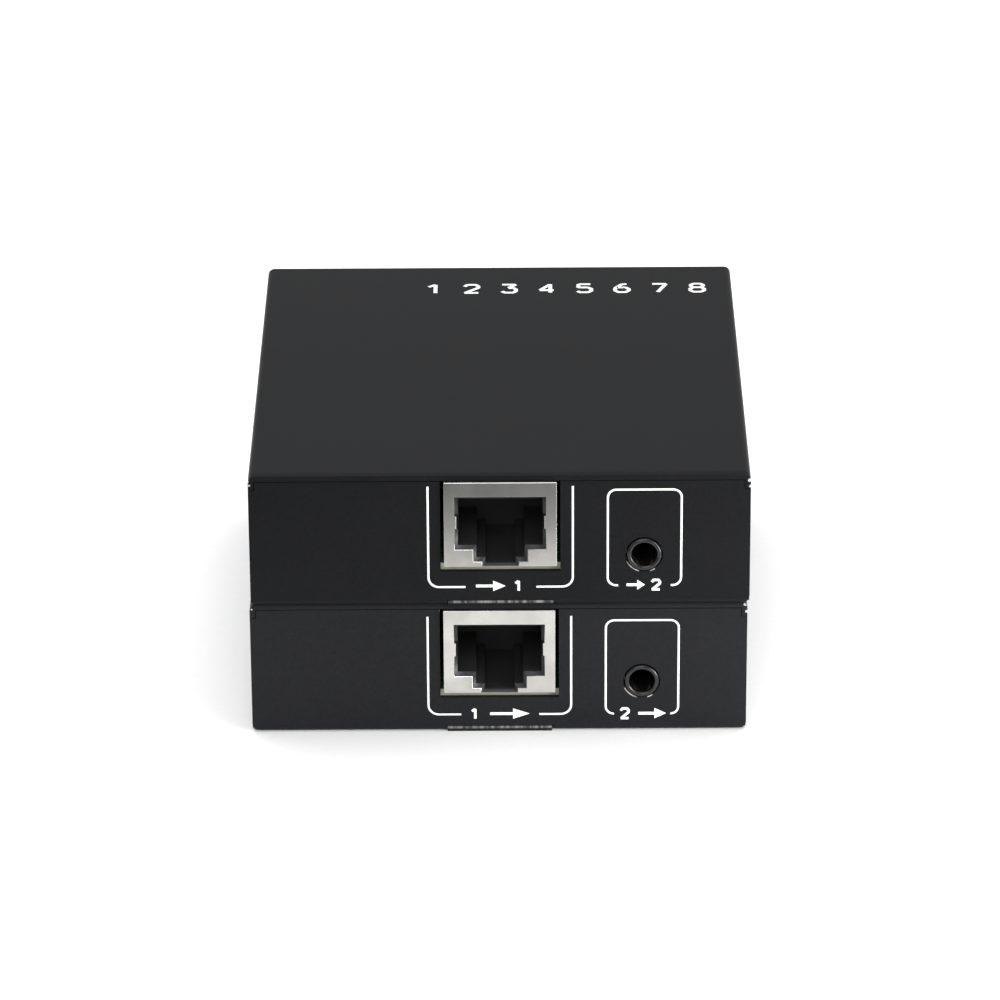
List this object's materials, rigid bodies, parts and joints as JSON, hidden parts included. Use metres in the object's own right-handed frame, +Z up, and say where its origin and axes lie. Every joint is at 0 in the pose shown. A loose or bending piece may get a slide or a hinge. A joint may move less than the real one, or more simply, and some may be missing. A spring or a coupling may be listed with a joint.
{
  "type": "signal extender pair",
  "caption": "Receiver stacked on a transmitter, each a small folded steel case with a shielded line socket, a remote control jack, a video port and a power jack.",
  "frame": {"origin": "middle of the stacked pair's footprint, on the surface they stand on", "axes": "+Z up, -Y towards the line sockets, +X to the right of a viewer who faces them"},
  "size_m": [0.0712, 0.0804, 0.0406],
  "materials": {
    "case_paint": "satin black powder coat",
    "black_screw": "black oxide",
    "zinc": "bright zinc plate",
    "board_resin": "green solder mask",
    "tin_plate": "matt tin plate",
    "black_moulding": "moulded, fine grain",
    "black_gloss_moulding": "polished moulding",
    "gold_plate": "thin gold plate",
    "light_lens": "diffused green resin",
    "chip_resin": "moulded resin",
    "print_ink": "screen printed ink",
    "ferrite": "sintered",
    "can_aluminium": "drawn can"
  },
  "bodies": {
    "transmitter": {"transmitter_cover": "case_paint", "transmitter_base": "case_paint", "transmitter_cover_screws": "black_screw", "transmitter_standoffs": "zinc", "transmitter_board": "board_resin", "transmitter_board_screws": "zinc", "transmitter_line_socket_shield": "tin_plate", "transmitter_line_socket_housing": "black_moulding", "transmitter_line_socket_leads": "gold_plate", "transmitter_remote_jack_body": "black_gloss_moulding", "transmitter_remote_jack_terminals": "gold_plate", "transmitter_video_port_shell": "tin_plate", "transmitter_video_port_tongue": "black_moulding", "transmitter_video_port_contacts": "gold_plate", "transmitter_power_jack_body": "black_moulding", "transmitter_power_jack_terminals": "tin_plate", "transmitter_status_light": "light_lens", "transmitter_line_transformer": "chip_resin", "transmitter_video_chip": "chip_resin", "transmitter_control_chip": "chip_resin", "transmitter_regulator": "chip_resin", "transmitter_inductor": "ferrite", "transmitter_capacitors": "can_aluminium", "transmitter_crystal": "can_aluminium", "transmitter_resistors": "chip_resin"},
    "transmitter_line_contacts": {"transmitter_line_socket_contacts": "gold_plate"},
    "transmitter_remote_spring": {"transmitter_remote_jack_spring": "gold_plate"},
    "transmitter_power_spring": {"transmitter_power_jack_spring": "tin_plate"},
    "receiver": {"receiver_cover": "case_paint", "receiver_base": "case_paint", "receiver_cover_screws": "black_screw", "receiver_standoffs": "zinc", "receiver_board": "board_resin", "receiver_board_screws": "zinc", "receiver_line_socket_shield": "tin_plate", "receiver_line_socket_housing": "black_moulding", "receiver_line_socket_leads": "gold_plate", "receiver_remote_jack_body": "black_gloss_moulding", "receiver_remote_jack_terminals": "gold_plate", "receiver_video_port_shell": "tin_plate", "receiver_video_port_tongue": "black_moulding", "receiver_video_port_contacts": "gold_plate", "receiver_power_jack_body": "black_moulding", "receiver_power_jack_terminals": "tin_plate", "receiver_status_light": "light_lens", "receiver_line_transformer": "chip_resin", "receiver_video_chip": "chip_resin", "receiver_control_chip": "chip_resin", "receiver_regulator": "chip_resin", "receiver_inductor": "ferrite", "receiver_capacitors": "can_aluminium", "receiver_crystal": "can_aluminium", "receiver_resistors": "chip_resin"},
    "receiver_line_contacts": {"receiver_line_socket_contacts": "gold_plate"},
    "receiver_remote_spring": {"receiver_remote_jack_spring": "gold_plate"},
    "receiver_power_spring": {"receiver_power_jack_spring": "tin_plate"}
  },
  "joints": [
    {"name": "receiver_lift", "type": "slide", "parent": "transmitter", "child": "receiver", "axis": [0, 0, 1], "range_m": [0, 0.05]},
    {"name": "transmitter_line_contacts_flex", "type": "hinge", "parent": "transmitter", "child": "transmitter_line_contacts", "pos_m": [-0.00002, -0.0363, 0.0165], "axis": [1, 0, 0], "range_deg": [0, 12], "stiffness_Nm_per_rad": 0.3},
    {"name": "transmitter_remote_spring_flex", "type": "hinge", "parent": "transmitter", "child": "transmitter_remote_spring", "pos_m": [0.02236, -0.0275, 0.008], "axis": [0, 0, 1], "range_deg": [0, 6], "stiffness_Nm_per_rad": 0.05},
    {"name": "transmitter_power_spring_flex", "type": "hinge", "parent": "transmitter", "child": "transmitter_power_spring", "pos_m": [-0.02012, 0.0307, 0.00958], "axis": [-1, 0, 0], "range_deg": [0, 5], "stiffness_Nm_per_rad": 0.2},
    {"name": "receiver_line_contacts_flex", "type": "hinge", "parent": "receiver", "child": "receiver_line_contacts", "pos_m": [0.00021, -0.037, 0.0368], "axis": [1, 0, 0], "range_deg": [0, 12], "stiffness_Nm_per_rad": 0.3},
    {"name": "receiver_remote_spring_flex", "type": "hinge", "parent": "receiver", "child": "receiver_remote_spring", "pos_m": [0.02259, -0.0282, 0.0283], "axis": [0, 0, 1], "range_deg": [0, 6], "stiffness_Nm_per_rad": 0.05},
    {"name": "receiver_power_spring_flex", "type": "hinge", "parent": "receiver", "child": "receiver_power_spring", "pos_m": [-0.01988, 0.03, 0.02987], "axis": [-1, 0, 0], "range_deg": [0, 5], "stiffness_Nm_per_rad": 0.2}
  ]
}
